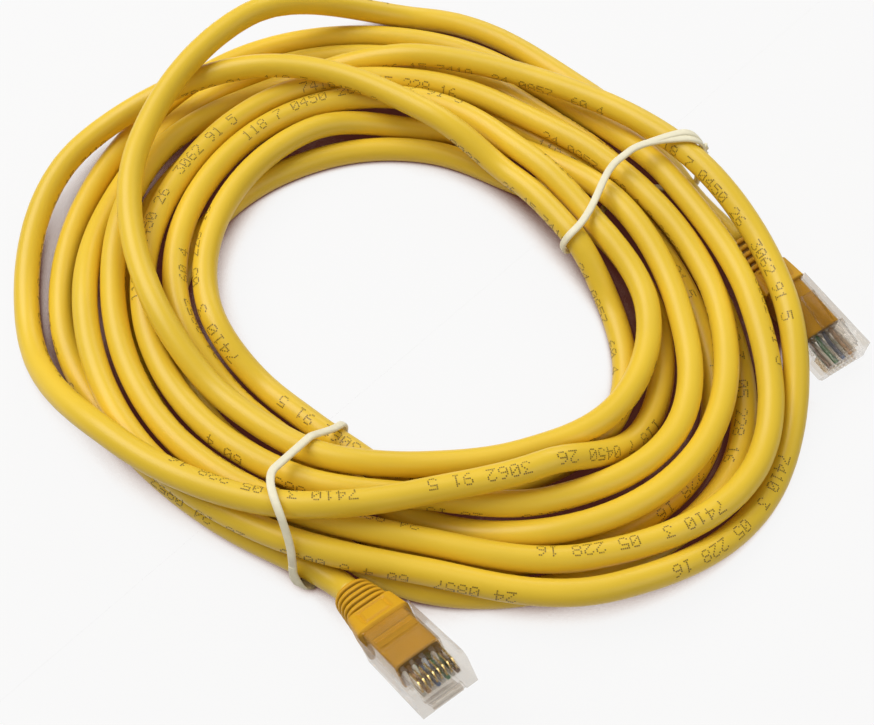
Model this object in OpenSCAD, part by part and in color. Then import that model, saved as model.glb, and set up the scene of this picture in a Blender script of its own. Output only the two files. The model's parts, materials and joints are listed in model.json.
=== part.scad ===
// Coiled patch cable with an 8-position plug on each end, held by two twist ties.
// Lengths in mm. The part lies on z = 0; +X is right and +Y is away from the viewer.

/* [Cable] */
// Outside diameter of the jacket
cable_d = 5.5; // [5:0.1:5.5]
// Mean distance of the turns from the coil's middle
coil_r = 62; // [62:0.5:66]
// Height of one layer of turns: the diameter and the clear gap between turns
layer_h = 6.0; // [5.95:0.05:6.2]
// Extra height of the turns where a tie passes under them
tie_lift = 1.5; // [1.5:0.05:1.7]

/* [Housing] */
// Length of the clear housing
housing_l = 21.46; // [21:0.1:22]
// Width of the clear housing
housing_w = 11.68; // [11.4:0.02:11.8]
// Height of the clear housing without the latch
housing_h = 6.6; // [6.5:0.05:6.9]
// Width of the rear cavity
cavity_w = 9.6; // [9.3:0.1:10]
// Clear space above and below the cable in the cavity
cavity_gap = 0.1; // [0.05:0.01:0.2]
// Depth of the rear cavity
cavity_l = 13.6; // [13.4:0.1:14]
// Bevel along the nose on the contact side
nose_bevel = 0.9; // [0.5:0.1:1.1]

/* [Contacts and wires] */
// Distance between neighbouring contacts
pitch = 1.02; // [1:0.01:1.05]
// Thickness of a contact blade
blade_t = 0.32; // [0.25:0.01:0.36]
// Clear space on each side of a blade
blade_gap = 0.06; // [0.04:0.01:0.1]
// Length of a contact blade
blade_l = 3.8; // [3.4:0.1:4]
// Depth of the blade's top edge below the contact side
blade_drop = 0.4; // [0.3:0.05:0.6]
// Diameter of an insulated wire
wire_d = 0.9; // [0.8:0.02:0.94]
// Clear space round a wire in its bore
wire_gap = 0.06; // [0.04:0.01:0.1]
// Height of the wires above the middle of the housing, under the contacts
wire_z = 0.2; // [0:0.05:0.4]
// Height of the two wire rows above and below the middle, in the guide
row_z = 0.6; // [0.55:0.05:0.8]
// Length of the wire guide
guide_l = 3; // [2.6:0.1:3.2]

/* [Strain bar] */
// Length of the bar that holds the cable down
bar_l = 3.4; // [2.8:0.1:3.6]
// Width of that bar
bar_w = 8; // [7:0.1:8.4]
// Depth the bar dents the boot's tongue
bar_dent = 0.25; // [0.15:0.05:0.3]
// Clear space round the bar
bar_gap = 0.1; // [0.06:0.02:0.14]

/* [Latch] */
// Length of the lever behind its hinge
latch_l = 14.6; // [13.5:0.1:15]
// Width of the lever near the nose
latch_w = 6.2; // [5.8:0.1:6.4]
// Width of the thumb tail
tail_w = 3.3; // [3:0.1:3.8]
// Thickness of the lever
latch_t = 0.9; // [0.8:0.05:1]
// Angle of the lever from the housing at rest
latch_angle = 13; // [12.5:0.5:15]
// Radius of the hinge root
root_r = 0.55; // [0.5:0.02:0.6]
// Clear space round the hinge root
root_gap = 0.14; // [0.12:0.02:0.2]

/* [Boot] */
// Length of the ribbed neck
neck_l = 9; // [8.6:0.1:9.4]
// Length of the block between neck and housing
block_l = 6; // [5.6:0.1:6.4]
// Width of the block at the housing
block_w = 11.2; // [10.8:0.1:11.4]
// Width of the block at the neck
block_w_neck = 9.8; // [9.4:0.1:10.2]
// Height of the block
block_h = 7.4; // [7.2:0.1:7.6]
// Corner radius of the block
block_r = 1.6; // [1:0.1:2]
// Width of the last rib, where the cable comes out
rib_w_end = 7.8; // [7.6:0.1:8]
// Width of the rib next to the block
rib_w_block = 9.6; // [9.2:0.1:9.8]
// Thickness of a rib
rib_t = 1.1; // [0.9:0.05:1.2]
// Wall of the neck between bore and groove
neck_wall = 0.5; // [0.4:0.05:0.6]
// Clear space between boot and cable
bore_gap = 0.06; // [0.04:0.01:0.1]
// Length of the tongue inside the housing
tongue_l = 13.2; // [12.8:0.1:13.3]
// Clear space between tongue and cavity
tongue_gap = 0.12; // [0.08:0.02:0.16]
// Diameter of the jacket where the tongue is moulded round it
neck_d = 4.2; // [4:0.1:4.3]
// Depth of the frame pressed into the block
frame_d = 0.35; // [0.2:0.05:0.5]

/* [Ties] */
// Width of a tie
tie_w = 2.0; // [1.8:0.1:2.2]
// Thickness of a tie
tie_t = 0.8; // [0.75:0.05:0.85]
// Clear space between tie and turns
tie_gap = 0.6; // [0.5:0.05:0.7]
// Diameter of the wire inside a tie
core_d = 0.4; // [0.3:0.05:0.45]
// Clear space round that wire
core_gap = 0.05; // [0.04:0.01:0.08]
// Length of the twisted ends
twist_l = 6; // [5:0.5:7]

/* [Hidden] */
$fn = 32;
eps = 0.01;

// Where things lie: the coil's middle, and the cable end of each boot with its heading and tilt.
spread = coil_r / 62;
coil_at = [-2.0, 1.15];
front_at = [-15.5 * spread, -64.95 * spread, 7.6];
front_heading = -54;
front_tilt = 36;
rear_at = [69.1 * spread, 20.15 * spread, 3.9];
rear_heading = -57.4;
rear_tilt = 0;

// The turns, by hand: distance from the coil's middle every 30 degrees, one row per turn.
// A row starts at 300 degrees, counted from the left over the far side.
LAY = [
    62.4, 68.0, 80.4, 87.0, 90.0, 82.4, 70.2, 64.7, 70.1, 77.6, 66.8, 54.7,
    55.3, 61.0, 67.7, 75.0, 76.9, 70.2, 67.3, 70.2, 77.4, 82.3, 74.2, 61.1,
    61.7, 67.5, 74.0, 80.7, 83.4, 75.8, 63.5, 61.2, 66.6, 73.6, 68.6, 62.6,
    54.4, 60.0, 66.5, 71.0, 70.6, 65.0, 57.1, 55.0, 60.2, 67.0, 62.3, 56.1,
    48.0, 52.0, 56.5, 56.0, 52.0, 47.5, 43.2, 46.0, 51.0, 53.6, 47.1, 46.9,
    57.7, 71.2, 88.0, 92.5, 73.0, 49.3, 40.0, 37.4, 42.0, 46.9, 44.2, 40.8,
    35.6, 37.5, 47.0, 53.2, 56.3, 54.0, 50.8, 51.4, 55.0, 60.0, 52.7, 45.2,
    48.7, 54.4, 61.3, 66.5, 69.2, 64.0, 57.2, 58.0, 63.8, 66.4, 59.6, 48.2,
    41.9, 44.2, 53.7, 60.3, 62.8, 57.4, 46.1, 43.6, 48.3, 47.3, 40.7, 38.1,
    42.2, 47.3, 58.8, 75.0, 86.5, 90.2, 76.5, 70.0];
// The layer each of those points lies in; 0 rests on the floor.
LAYER = [
    0, 0, 0, 0, 0, 0, 0, 1.2, 1.5, 1, 1, 1,
    1, 1, 1, 1, 0, 1.4, 1.5, 1.9, 1.6, 0, 1, 1,
    1, 1, 1, 0, 0, 0, 0, 0, 0, 0, 0, 0,
    0, 0, 0, 0, 0, 0, 0, 0, 0, 0, 0, 0,
    0, 0, 0, 0, 0, 0, 0, 0, 0, 0, 2, 2,
    2, 2, 0, 0.8, 2.1, 2.1, 1, 1, 0, 0, 0, 0,
    0, 0, 1, 1, 1, 0, 0.4, 1, 1, 1, 1, 1,
    1, 1, 1, 1, 1, 1, 1, 1, 1, 1, 0.95, 0,
    0, 0, 1, 1, 1, 1.1, 1.3, 1, 1, 1, 1, 1,
    1, 1, 2, 2.4, 2.8, 0, 0, 0];
STATION = 30;
START = 300;
PER_TURN = 12;
LAST = len(LAY) - 1;
LEFT_TIE = 304;
RIGHT_TIE = 142;

cable_r = cable_d / 2;
floor_cut = cable_d / 10;
lead_l = 2;
far = 3 * coil_r;
rest_z = cable_r - floor_cut;
boot_l = neck_l + block_l;
block_t = 1.6;
RIBS = 5;
rib_pitch = (neck_l - rib_t - 0.5) / (RIBS - 1);
bore_d = cable_d + 2 * bore_gap;
cavity_h = cable_d + 2 * cavity_gap;
guide_x = tongue_l - guide_l - 0.2;
fan_x = guide_x - 2.6;
strip_x = fan_x - 0.3;
row_x = 16;
pocket_w = 7 * pitch + wire_d + 0.4;
pocket_h = 2 * (row_z + wire_d) + 0.12;
wire_end = housing_l - 1;
blade_x = wire_end - blade_l;
wire_slot_h = wire_d + 2 * wire_gap;
blade_top = housing_h / 2 - blade_drop;
tooth_z = wire_z + wire_d / 2 - 0.3;
bar_x = 3.5;
tongue_top = cavity_h / 2 - tongue_gap;
bar_bottom = tongue_top - bar_dent;
bar_top = housing_h / 2 - 0.15;
root_x = housing_l - 1.4;
latch_relief = 0.3;
YELLOW = [0.93, 0.77, 0.2];
ORANGE = [0.88, 0.62, 0.18];
CLEAR = [0.85, 0.85, 0.84];
GOLD = [0.85, 0.65, 0.25];
WHITE = [0.93, 0.92, 0.88];
STEEL = [0.6, 0.6, 0.62];
WIRE_COLOURS = [[0.95, 0.75, 0.55], [0.9, 0.45, 0.1], [0.7, 0.85, 0.65], [0.1, 0.25, 0.6],
    [0.6, 0.7, 0.9], [0.1, 0.5, 0.2], [0.75, 0.65, 0.55], [0.4, 0.22, 0.1]];

function clip(i, last) = max(0, min(last, i));
function smooth(f) = f * f * (3 - 2 * f);
// A smooth curve through four values, between the middle two.
function curve(a, b, c, d, f) =
    b + f / 2 * (c - a + f * (2 * a - 5 * b + 4 * c - d + f * (3 * (b - c) + d - a)));
// How far an angle is from a tie, and the share of the lift there.
function apart(a, b) = abs((((a - b) % 360) + 540) % 360 - 180);
function bump(a, tie) = smooth(max(0, min(1, (34 - apart(a, tie)) / 24)));
function lift(a) = tie_lift * max(bump(a, LEFT_TIE), bump(a, RIGHT_TIE));
function lay_angle(t) = START + STATION * t;
function lay_r(t) = let(i = clip(floor(t), LAST - 1))
    spread * curve(LAY[clip(i - 1, LAST)], LAY[i], LAY[i + 1], LAY[clip(i + 2, LAST)], t - i);
function lay_layer(t) = let(i = clip(floor(t), LAST - 1))
    LAYER[i] + (LAYER[i + 1] - LAYER[i]) * smooth(t - i);
function lay_z(t) = rest_z + layer_h * lay_layer(t) + lift(lay_angle(t));
function lay_point(t) = let(a = lay_angle(t), r = lay_r(t))
    [coil_at[0] - r * cos(a), coil_at[1] + r * sin(a), lay_z(t)];

function unit(v) = v / norm(v);
function heading(h, tilt) = [cos(tilt) * cos(h), cos(tilt) * sin(h), sin(tilt)];
// A smooth link from p with direction a to q with direction b, n points between the ends.
function link(p, a, q, b, n) = let(s = norm(q - p)) [for (i = [1 : n]) let(f = i / (n + 1))
    p * (1 + 2 * f) * (1 - f) * (1 - f) + a * s * f * (1 - f) * (1 - f)
    + q * f * f * (3 - 2 * f) - b * s * f * f * (1 - f)];

function lay(step) = [for (t = [0 : step : LAST]) lay_point(t)];
// The whole route from the front boot to the rear boot, straight for a short lead at each end.
function route(step) = let(
    u = heading(front_heading, front_tilt),
    w = heading(rear_heading, rear_tilt),
    middle = lay(step),
    last = len(middle) - 1,
    leave = front_at - lead_l * u,
    arrive = rear_at - lead_l * w)
    concat([front_at, leave],
        link(leave, -u, middle[0], unit(middle[1] - middle[0]), 2),
        middle,
        link(middle[last], unit(middle[last] - middle[last - 1]), arrive, w, 2),
        [arrive, rear_at]);

// Rings of points square to a route; the first and last stand square to their straight ends.
function ring(p, along, r, sides) = let(
    side = unit(cross(along, [0, 0, 1])),
    up = cross(side, along))
    [for (k = [0 : sides - 1]) let(a = 360 / sides * k - 90)
        p + r * (cos(a) * side + sin(a) * up)];
function along(pts, i) = unit(pts[min(i + 1, len(pts) - 1)] - pts[max(i - 1, 0)]);

module tube(pts, r, sides) {
    n = len(pts);
    points = [for (i = [0 : n - 1]) each ring(pts[i], along(pts, i), r, sides)];
    walls = [for (i = [0 : n - 2], k = [0 : sides - 1]) let(
        a = i * sides + k,
        b = i * sides + (k + 1) % sides)
        each [[a, b, a + sides], [b, b + sides, a + sides]]];
    caps = [for (k = [1 : sides - 2])
        each [[0, k + 1, k], [(n - 1) * sides, (n - 1) * sides + k, (n - 1) * sides + k + 1]]];
    polyhedron(points, concat(walls, caps), convexity = 20);
}

// The least clear gap between turns, measured on points an eighth of a station apart.
module measure_gap() {
    pts = route(1 / 8);
    n = len(pts);
    gaps = [for (i = [0 : n - 1], j = [i + 24 : n - 1]) norm(pts[i] - pts[j])];
    echo(least_gap = min(gaps) - cable_d, points = n);
    steps = [for (i = [1 : n - 1]) norm(pts[i] - pts[i - 1])];
    echo(cable_length = steps * [for (s = steps) 1]);
}

// A tie's line turns with the distance from the coil's middle, so that it lies slanted.
function ease(x) = smooth(max(0, min(1, x)));
function slant(tie, distance) = let(r = distance / spread) tie == LEFT_TIE
    ? -11 * ease((r - 52) / 14) - 2 * ease((42 - r) / 8)
    : 12 * ease((55 - r) / 22) + 8 * ease((r - 58) / 20);
function tie_point(tie, p) = let(a = tie + slant(tie, p[0]))
    [coil_at[0] - p[0] * cos(a), coil_at[1] + p[0] * sin(a), p[1]];

// Where the turns meet that line: distance and height of each, found by a few steps.
function meet(tie, base, t, n) = n == 0 ? t
    : meet(tie, base, clip(base + slant(tie, lay_r(t)) / STATION, LAST), n - 1);
function tie_turns(tie) = let(first = ((tie - START) % 360 + 360) % 360 / STATION)
    [for (base = [first : PER_TURN : LAST]) let(t = meet(tie, base, base, 6)) [lay_r(t), lay_z(t)]];

// Round those turns: the furthest turn's edge in each direction, with the long runs divided.
function far_edge(turns, margin, a) = let(
    n = [cos(a), sin(a)],
    d = [for (p = turns) p * n],
    p = turns[[for (k = [0 : len(d) - 1]) if (d[k] == max(d)) k][0]])
    [p[0] + margin * n[0], max(p[1] + margin * n[1], tie_t / 2)];
function tie_outline(tie) = let(
    turns = tie_turns(tie),
    margin = cable_r + tie_gap + tie_t / 2,
    edge = [for (a = [0 : 15 : 345]) far_edge(turns, margin, a)],
    n = len(edge))
    [for (i = [0 : n - 1]) let(
        step = edge[(i + 1) % n] - edge[i],
        parts = max(1, ceil(norm(step) / 4)))
        for (j = [0 : parts - 1]) edge[i] + step * j / parts];

// A cross-section with cut corners, and a closed strip of that section along a tie's line.
function section(w, t) = let(x = w / 2, y = t / 2, c = t / 4)
    [[-x, c - y], [c - x, -y], [x - c, -y], [x, c - y], [x, y - c], [x - c, y], [c - x, y], [-x, y - c]];

module strip(tie, w, t) {
    flat = tie_outline(tie);
    pts = [for (p = flat) tie_point(tie, p)];
    n = len(pts);
    sides = 8;
    points = [for (i = [0 : n - 1]) let(
        next = (i + 1) % n,
        prior = (i + n - 1) % n,
        ahead = unit(pts[next] - pts[prior]),
        step = flat[next] - flat[prior],
        a = tie + slant(tie, flat[i][0]),
        away = [-step[1] * cos(a), step[1] * sin(a), -step[0]],
        out = unit(away - (away * ahead) * ahead),
        across = cross(ahead, out))
        for (c = section(w, t)) let(p = pts[i] + c[0] * across + c[1] * out)
            [p[0], p[1], max(p[2], 0)]];
    walls = [for (i = [0 : n - 1], k = [0 : sides - 1]) let(
        a = i * sides + k,
        b = i * sides + (k + 1) % sides,
        c = (i + 1) % n * sides + k,
        d = (i + 1) % n * sides + (k + 1) % sides)
        each [[a, b, c], [b, d, c]]];
    polyhedron(points, walls, convexity = 20);
}

// Two flat ends turned round each other, leaning off the outer side of a tie.
module tie_twist(tie, drop) {
    shoulder = far_edge(tie_turns(tie), cable_r + tie_gap + tie_t / 2, 30);
    translate(tie_point(tie, shoulder))
        rotate([0, 90 + drop, 180 - tie - slant(tie, shoulder[0])])
            linear_extrude(twist_l, twist = 540, slices = 12)
                square([2 * tie_t, tie_w * 0.8], center = true);
}

module tie_sheath(tie, drop) {
    difference() {
        union() {
            strip(tie, tie_w, tie_t);
            tie_twist(tie, drop);
        }
        strip(tie, core_d + 2 * core_gap, core_d + 2 * core_gap);
    }
}

module tie_core(tie) {
    strip(tie, core_d, core_d);
}

module place(at, h, tilt, over) {
    translate(at)
        rotate([0, -tilt, h])
            translate([boot_l, 0, 0])
                rotate([over, 0, 0])
                    children();
}

module front() {
    place(front_at, front_heading, front_tilt, 0)
        children();
}

module rear() {
    place(rear_at, rear_heading, rear_tilt, 180)
        children();
}

// A plug's own frame: x from the housing's rear face to the nose, contacts at +z, latch at -z.
module along_x(x, d, length) {
    translate([x, 0, 0])
        rotate([0, 90, 0])
            cylinder(d = d, h = length);
}

module box(x, length, width, bottom, top) {
    translate([x, -width / 2, bottom])
        cube([length, width, top - bottom]);
}

module housing() {
    half = housing_h / 2;
    slot_w = blade_t + 2 * blade_gap;
    difference() {
        rotate([90, 0, 0])
            linear_extrude(housing_w, center = true)
                polygon([[0, -half], [housing_l, -half], [housing_l, half - nose_bevel],
                    [housing_l - nose_bevel, half], [0, half]]);
        box(-1, cavity_l + 1, cavity_w, -cavity_h / 2, cavity_h / 2);
        box(cavity_l - eps, row_x - cavity_l + eps, 7.6 * pitch + wire_d, -row_z - wire_d,
            row_z + wire_d);
        box(row_x - eps, wire_end + wire_gap - row_x, 7 * pitch + wire_slot_h,
            wire_z - wire_slot_h / 2, wire_z + wire_slot_h / 2);
        for (k = [0 : 7])
            translate([0, (k - 3.5) * pitch, 0]) {
                box(blade_x - blade_gap, blade_l + 2 * blade_gap, slot_w, wire_z, half + 1);
                box(blade_x - blade_gap, housing_l, slot_w, half - 1.4, half + 1);
            }
        box(bar_x - bar_gap, bar_l + 2 * bar_gap, bar_w + 2 * bar_gap, 0, half + 1);
        box(root_x - 6.6, housing_l, latch_w + 0.6, -half - 1, -half + latch_relief);
        translate([root_x, 0, -half])
            rotate([90, 0, 0])
                cylinder(r = root_r + root_gap, h = latch_w + 0.6, center = true);
    }
}

module strain_bar() {
    rotate([90, 0, 0])
        linear_extrude(bar_w, center = true)
            polygon([[bar_x + 0.8, bar_bottom], [bar_x + bar_l, bar_bottom + 0.3],
                [bar_x + bar_l, bar_top], [bar_x, bar_top], [bar_x, bar_bottom + 0.4]]);
}

module wire_guide() {
    difference() {
        box(guide_x, guide_l, pocket_w - 0.12, 0.06 - pocket_h / 2, pocket_h / 2 - 0.06);
        for (k = [0 : 7])
            translate([guide_x - 1, (k - 3.5) * pitch, k % 2 == 0 ? row_z : -row_z])
                rotate([0, 90, 0])
                    cylinder(d = wire_d + 2 * wire_gap, h = guide_l + 2, $fn = 20);
    }
}

// A wire's middle at a distance along the plug: fanned out to the guide, then drawn into one row.
function wire_y(k, x) = (k - 3.5) * pitch * (0.5 + 0.5 * smooth(max(0, min(1,
    (x - fan_x) / (guide_x - fan_x)))));
function wire_h(k, x) = let(row = k % 2 == 0 ? row_z : -row_z)
    row + (wire_z - row) * smooth(max(0, min(1, (x - guide_x - guide_l) / (row_x - guide_x - guide_l))));

module wire(k) {
    fan = guide_x - fan_x;
    pull = row_x - guide_x - guide_l;
    stops = concat([strip_x], [for (f = [0 : 0.25 : 1]) fan_x + fan * f],
        [for (f = [0 : 0.25 : 1]) guide_x + guide_l + pull * f], [wire_end - 0.2, wire_end]);
    difference() {
        tube([for (x = stops) [x, wire_y(k, x), wire_h(k, x)]], wire_d / 2, 8);
        translate([0, (k - 3.5) * pitch, 0])
            box(blade_x - 0.1, blade_l, blade_t + 0.1, tooth_z - 0.05, housing_h);
    }
}

module contacts() {
    base = wire_z + wire_d / 2 + 0.06;
    for (k = [0 : 7])
        translate([0, (k - 3.5) * pitch, 0])
            rotate([90, 0, 0])
                linear_extrude(blade_t, center = true)
                    polygon([[blade_x, base], [blade_x + 0.5, base], [blade_x + 0.9, tooth_z],
                        [blade_x + 1.3, base], [blade_x + 2.1, base], [blade_x + 2.5, tooth_z],
                        [blade_x + 2.9, base], [blade_x + blade_l, base],
                        [blade_x + blade_l, blade_top - 0.5],
                        [blade_x + blade_l - 0.15, blade_top - 0.15],
                        [blade_x + blade_l - 0.5, blade_top], [blade_x + 0.2, blade_top],
                        [blade_x, blade_top - 0.2]]);
}

// The lever slopes down and back from its root; two shoulders lock in a socket.
module latch() {
    translate([root_x, 0, -housing_h / 2])
        rotate([0, -latch_angle, 0]) {
            rotate([90, 0, 0])
                cylinder(r = root_r, h = latch_w, center = true);
            difference() {
                box(-6.2, 6.2, latch_w, -latch_t - 0.1, -0.1);
                box(-4.6, 2.6, latch_w - 2.4, -latch_t - 1, -latch_t + 0.2);
            }
            box(-6.2, 1.3, latch_w, -latch_t - 0.6, -0.1);
            box(-latch_l, latch_l - 6.1, tail_w, -latch_t - 0.1, -0.1);
            box(-latch_l, 0.8, tail_w, -latch_t - 0.4, -0.1);
            for (x = [1 : 3])
                box(-latch_l + 1.4 * x, 0.5, tail_w, -latch_t - 0.35, -0.2);
        }
}

module rounded(width, height, r) {
    square([width - 2 * r, height], center = true);
    square([width, height - 2 * r], center = true);
    for (sx = [-1, 1], sy = [-1, 1])
        translate([sx * (width / 2 - r), sy * (height / 2 - r)])
            circle(r = r);
}

module block_end(x, width) {
    translate([x, 0, 0])
        rotate([90, 0, 90])
            linear_extrude(block_t)
                rounded(width, block_h, block_r);
}

module frame_groove(z) {
    translate([-block_l / 2, 0, z])
        difference() {
            cube([4, 5.6, 2 * frame_d], center = true);
            cube([3, 4.6, 3 * frame_d], center = true);
        }
}

module boot() {
    difference() {
        union() {
            hull() {
                block_end(-block_l, block_w_neck);
                block_end(-block_t, block_w);
            }
            along_x(-boot_l, bore_d + 2 * neck_wall, neck_l + eps);
            for (k = [0 : RIBS - 1]) {
                f = k / (RIBS - 1);
                wide = rib_w_end + (rib_w_block - rib_w_end) * f;
                tall = rib_w_end - 0.9 + (block_h - rib_w_end + 0.7) * f;
                intersection() {
                    along_x(-boot_l + rib_pitch * k, wide, rib_t);
                    box(-boot_l, neck_l, 2 * wide, -tall / 2, tall / 2);
                }
            }
            box(-eps, tongue_l, cavity_w - 2 * tongue_gap, -tongue_top, tongue_top);
        }
        along_x(-boot_l - 1, bore_d, boot_l + bore_gap);
        along_x(-1, neck_d + 2 * bore_gap, strip_x + 1 + bore_gap);
        box(strip_x, tongue_l, pocket_w, -pocket_h / 2, pocket_h / 2);
        box(bar_x - bar_gap, bar_l + 2 * bar_gap, housing_w, bar_bottom - 0.04, housing_h);
        frame_groove(block_h / 2);
        frame_groove(-block_h / 2);
    }
}

module cable_end() {
    along_x(-boot_l, cable_d, boot_l - 1);
    along_x(-1 - eps, neck_d, strip_x + 1 + eps);
}

module cable_coil() {
    measure_gap();
    color(YELLOW)
        intersection() {
            tube(route(1 / 2), cable_r, 6);
            translate([-far, -far, 0])
                cube(2 * far);
        }
}

cable_coil();
color(YELLOW) front() cable_end();  // front_cable_end
color(YELLOW) rear() cable_end();  // rear_cable_end
color(ORANGE) front() boot();  // front_boot
color(ORANGE) rear() boot();  // rear_boot
color(CLEAR) front() housing();  // front_housing
color(CLEAR) rear() housing();  // rear_housing
color(CLEAR) front() strain_bar();  // front_strain_bar
color(CLEAR) rear() strain_bar();  // rear_strain_bar
color(CLEAR) front() wire_guide();  // front_wire_guide
color(CLEAR) rear() wire_guide();  // rear_wire_guide
color(GOLD) front() contacts();  // front_contacts
color(GOLD) rear() contacts();  // rear_contacts
color(CLEAR) front() latch();  // front_latch
color(CLEAR) rear() latch();  // rear_latch
color(WIRE_COLOURS[0]) front() wire(0);  // front_wire_1
color(WIRE_COLOURS[1]) front() wire(1);  // front_wire_2
color(WIRE_COLOURS[2]) front() wire(2);  // front_wire_3
color(WIRE_COLOURS[3]) front() wire(3);  // front_wire_4
color(WIRE_COLOURS[4]) front() wire(4);  // front_wire_5
color(WIRE_COLOURS[5]) front() wire(5);  // front_wire_6
color(WIRE_COLOURS[6]) front() wire(6);  // front_wire_7
color(WIRE_COLOURS[7]) front() wire(7);  // front_wire_8
color(WIRE_COLOURS[0]) rear() wire(0);  // rear_wire_1
color(WIRE_COLOURS[1]) rear() wire(1);  // rear_wire_2
color(WIRE_COLOURS[2]) rear() wire(2);  // rear_wire_3
color(WIRE_COLOURS[3]) rear() wire(3);  // rear_wire_4
color(WIRE_COLOURS[4]) rear() wire(4);  // rear_wire_5
color(WIRE_COLOURS[5]) rear() wire(5);  // rear_wire_6
color(WIRE_COLOURS[6]) rear() wire(6);  // rear_wire_7
color(WIRE_COLOURS[7]) rear() wire(7);  // rear_wire_8
color(WHITE) tie_sheath(LEFT_TIE, 50);  // left_tie_sheath
color(STEEL) tie_core(LEFT_TIE);  // left_tie_core
color(WHITE) tie_sheath(RIGHT_TIE, 60);  // right_tie_sheath
color(STEEL) tie_core(RIGHT_TIE);  // right_tie_core
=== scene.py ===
import json
import math

import bpy
import numpy as np
from bpy.props import FloatProperty, FloatVectorProperty, IntProperty, PointerProperty
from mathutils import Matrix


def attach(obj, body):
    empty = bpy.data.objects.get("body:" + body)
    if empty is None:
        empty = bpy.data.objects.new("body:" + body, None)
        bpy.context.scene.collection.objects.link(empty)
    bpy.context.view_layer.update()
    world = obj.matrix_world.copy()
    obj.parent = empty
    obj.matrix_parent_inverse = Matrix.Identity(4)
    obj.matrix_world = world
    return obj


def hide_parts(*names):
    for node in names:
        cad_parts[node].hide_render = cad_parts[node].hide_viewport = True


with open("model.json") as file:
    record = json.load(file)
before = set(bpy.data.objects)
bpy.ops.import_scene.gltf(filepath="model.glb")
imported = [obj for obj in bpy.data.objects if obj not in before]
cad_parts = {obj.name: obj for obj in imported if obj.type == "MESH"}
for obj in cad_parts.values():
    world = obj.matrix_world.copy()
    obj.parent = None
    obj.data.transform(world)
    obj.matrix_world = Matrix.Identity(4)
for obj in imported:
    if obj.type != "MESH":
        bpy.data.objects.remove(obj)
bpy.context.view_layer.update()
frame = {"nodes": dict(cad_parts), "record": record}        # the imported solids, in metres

bl_info = {
    "name": "Coiled patch cable",
    "version": (1, 0, 0),
    "blender": (4, 5, 0),
    "location": "View3D > Sidebar > Cable",
    "description": "Dresses the packed patch cable: jacket, print, boots, clear plugs and ties",
    "category": "Object",
}

MM = 0.001
BODY = "cable"

# The route of the cable, as in the part's source: distance from the coil's middle in mm
# every 30 degrees, and the layer that each of those points lies in.
LAY = np.array([
    62.4, 68.0, 80.4, 87.0, 90.0, 82.4, 70.2, 64.7, 70.1, 77.6, 66.8, 54.7,
    55.3, 61.0, 67.7, 75.0, 76.9, 70.2, 67.3, 70.2, 77.4, 82.3, 74.2, 61.1,
    61.7, 67.5, 74.0, 80.7, 83.4, 75.8, 63.5, 61.2, 66.6, 73.6, 68.6, 62.6,
    54.4, 60.0, 66.5, 71.0, 70.6, 65.0, 57.1, 55.0, 60.2, 67.0, 62.3, 56.1,
    48.0, 52.0, 56.5, 56.0, 52.0, 47.5, 43.2, 46.0, 51.0, 53.6, 47.1, 46.9,
    57.7, 71.2, 88.0, 92.5, 73.0, 49.3, 40.0, 37.4, 42.0, 46.9, 44.2, 40.8,
    35.6, 37.5, 47.0, 53.2, 56.3, 54.0, 50.8, 51.4, 55.0, 60.0, 52.7, 45.2,
    48.7, 54.4, 61.3, 66.5, 69.2, 64.0, 57.2, 58.0, 63.8, 66.4, 59.6, 48.2,
    41.9, 44.2, 53.7, 60.3, 62.8, 57.4, 46.1, 43.6, 48.3, 47.3, 40.7, 38.1,
    42.2, 47.3, 58.8, 75.0, 86.5, 90.2, 76.5, 70.0])
LAYER = np.array([
    0, 0, 0, 0, 0, 0, 0, 1.2, 1.5, 1, 1, 1,
    1, 1, 1, 1, 0, 1.4, 1.5, 1.9, 1.6, 0, 1, 1,
    1, 1, 1, 0, 0, 0, 0, 0, 0, 0, 0, 0,
    0, 0, 0, 0, 0, 0, 0, 0, 0, 0, 0, 0,
    0, 0, 0, 0, 0, 0, 0, 0, 0, 0, 2, 2,
    2, 2, 0, 0.8, 2.1, 2.1, 1, 1, 0, 0, 0, 0,
    0, 0, 1, 1, 1, 0, 0.4, 1, 1, 1, 1, 1,
    1, 1, 1, 1, 1, 1, 1, 1, 1, 1, 0.95, 0,
    0, 0, 1, 1, 1, 1.1, 1.3, 1, 1, 1, 1, 1,
    1, 1, 2, 2.4, 2.8, 0, 0, 0])
LAST = len(LAY) - 1
STATION = 30.0
START = 300.0
PER_TURN = 12
COIL_AT = np.array([-2.0, 1.15])
CABLE_D = 5.5
LAYER_H = 6.0
TIE_LIFT = 1.5
TIE_GAP = 0.6
TIE_REST = 0.3
REST_Z = CABLE_D / 2 - CABLE_D / 10
LEFT_TIE = 304.0
RIGHT_TIE = 142.0

# Each plug: the cable end of its boot in mm, its heading and tilt, and its roll about its length.
PLUGS = {
    "front": {"at": np.array([-15.5, -64.95, 7.6]), "heading": -54.0, "tilt": 36.0, "roll": 0.0},
    "rear": {"at": np.array([69.1, 20.15, 3.9]), "heading": -57.4, "tilt": 0.0, "roll": 180.0},
}
BOOT_L = 15.0
LEAD_L = 2.0
LEAD_POINTS = 4
LINK_POINTS = 10
STEPS_PER_STATION = 12
TIE_BUMP_FULL = 10.0
TIE_BUMP_END = 34.0
# Length in metres in which a pair goes once round inside the jacket.
PAIR_LAY = 0.024

# The print, in metres along the cable: its first line, the end left bare, the gaps between lines
# and the length in which it sways once round the top; the sway's middle and reach in degrees.
PRINT_START = 0.035
PRINT_END = 0.03
PRINT_GAP = 0.026
PRINT_GAP_SWAY = 0.012
PRINT_SWAY_L = 0.83
PRINT_TOP = 92
PRINT_SWING = 125
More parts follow.
